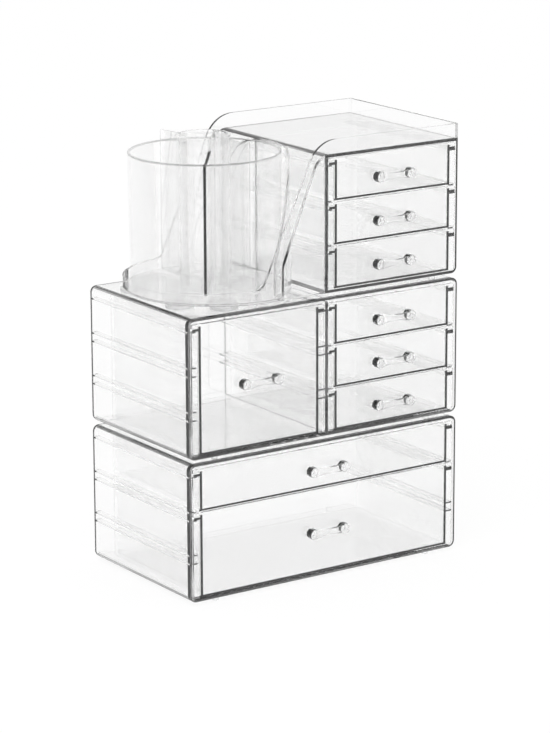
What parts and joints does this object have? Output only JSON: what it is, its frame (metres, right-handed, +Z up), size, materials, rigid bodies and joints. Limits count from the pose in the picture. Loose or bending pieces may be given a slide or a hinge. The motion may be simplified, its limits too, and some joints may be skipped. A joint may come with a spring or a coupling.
{
  "type": "brush holder with drawers",
  "caption": "Clear stacking organiser: two drawer cases under a top tier with small drawers, rimmed shelf and tray with a turning brush cup and vaned divider.",
  "frame": {"origin": "on the ground under the middle of the object's bounding box", "axes": "+Z up, +X to the right seen from the front, -Y is the front with the drawer handles"},
  "size_m": [0.24, 0.1438, 0.332],
  "materials": {
    "clear_plastic": "polished clear",
    "clear_feet": "clear soft",
    "clear_nylon": "clear"
  },
  "bodies": {
    "base_tier": {"base_case": "clear_plastic", "base_feet": "clear_feet"},
    "middle_tier": {"middle_case": "clear_plastic", "middle_feet": "clear_feet"},
    "top_tier": {"top_shell": "clear_plastic", "top_feet": "clear_feet", "tray_pads": "clear_feet", "pivot_pin": "clear_nylon", "glide_ring": "clear_nylon", "pin_cap": "clear_nylon"},
    "cup": {"brush_cup": "clear_plastic"},
    "divider": {"cup_divider": "clear_plastic"},
    "base_deep_drawer_body": {"base_deep_drawer": "clear_plastic", "base_deep_handle": "clear_plastic"},
    "base_shallow_drawer_body": {"base_shallow_drawer": "clear_plastic", "base_shallow_handle": "clear_plastic"},
    "tall_drawer_body": {"tall_drawer": "clear_plastic", "tall_handle": "clear_plastic"},
    "middle_lower_drawer_body": {"middle_lower_drawer": "clear_plastic", "middle_lower_handle": "clear_plastic"},
    "middle_centre_drawer_body": {"middle_centre_drawer": "clear_plastic", "middle_centre_handle": "clear_plastic"},
    "middle_upper_drawer_body": {"middle_upper_drawer": "clear_plastic", "middle_upper_handle": "clear_plastic"},
    "top_lower_drawer_body": {"top_lower_drawer": "clear_plastic", "top_lower_handle": "clear_plastic"},
    "top_centre_drawer_body": {"top_centre_drawer": "clear_plastic", "top_centre_handle": "clear_plastic"},
    "top_upper_drawer_body": {"top_upper_drawer": "clear_plastic", "top_upper_handle": "clear_plastic"}
  },
  "joints": [
    {"name": "middle_tier_lift", "type": "slide", "parent": "base_tier", "child": "middle_tier", "axis": [0, 0, 1], "range_m": [0, 0.06]},
    {"name": "top_tier_lift", "type": "slide", "parent": "middle_tier", "child": "top_tier", "axis": [0, 0, 1], "range_m": [0, 0.06]},
    {"name": "base_deep_drawer_slide", "type": "slide", "parent": "base_tier", "child": "base_deep_drawer_body", "axis": [0, -1, 0], "range_m": [0, 0.1]},
    {"name": "base_shallow_drawer_slide", "type": "slide", "parent": "base_tier", "child": "base_shallow_drawer_body", "axis": [0, -1, 0], "range_m": [0, 0.1]},
    {"name": "tall_drawer_slide", "type": "slide", "parent": "middle_tier", "child": "tall_drawer_body", "axis": [0, -1, 0], "range_m": [0, 0.1]},
    {"name": "middle_lower_drawer_slide", "type": "slide", "parent": "middle_tier", "child": "middle_lower_drawer_body", "axis": [0, -1, 0], "range_m": [0, 0.1]},
    {"name": "middle_centre_drawer_slide", "type": "slide", "parent": "middle_tier", "child": "middle_centre_drawer_body", "axis": [0, -1, 0], "range_m": [0, 0.1]},
    {"name": "middle_upper_drawer_slide", "type": "slide", "parent": "middle_tier", "child": "middle_upper_drawer_body", "axis": [0, -1, 0], "range_m": [0, 0.1]},
    {"name": "top_lower_drawer_slide", "type": "slide", "parent": "top_tier", "child": "top_lower_drawer_body", "axis": [0, -1, 0], "range_m": [0, 0.1]},
    {"name": "top_centre_drawer_slide", "type": "slide", "parent": "top_tier", "child": "top_centre_drawer_body", "axis": [0, -1, 0], "range_m": [0, 0.1]},
    {"name": "top_upper_drawer_slide", "type": "slide", "parent": "top_tier", "child": "top_upper_drawer_body", "axis": [0, -1, 0], "range_m": [0, 0.1]},
    {"name": "cup_turn", "type": "hinge", "parent": "top_tier", "child": "cup", "pos_m": [-0.0604, 0.00325, 0.22065], "axis": [0, 0, 1], "continuous": true},
    {"name": "divider_lift", "type": "slide", "parent": "cup", "child": "divider", "axis": [0, 0, 1], "range_m": [0, 0.12]}
  ]
}
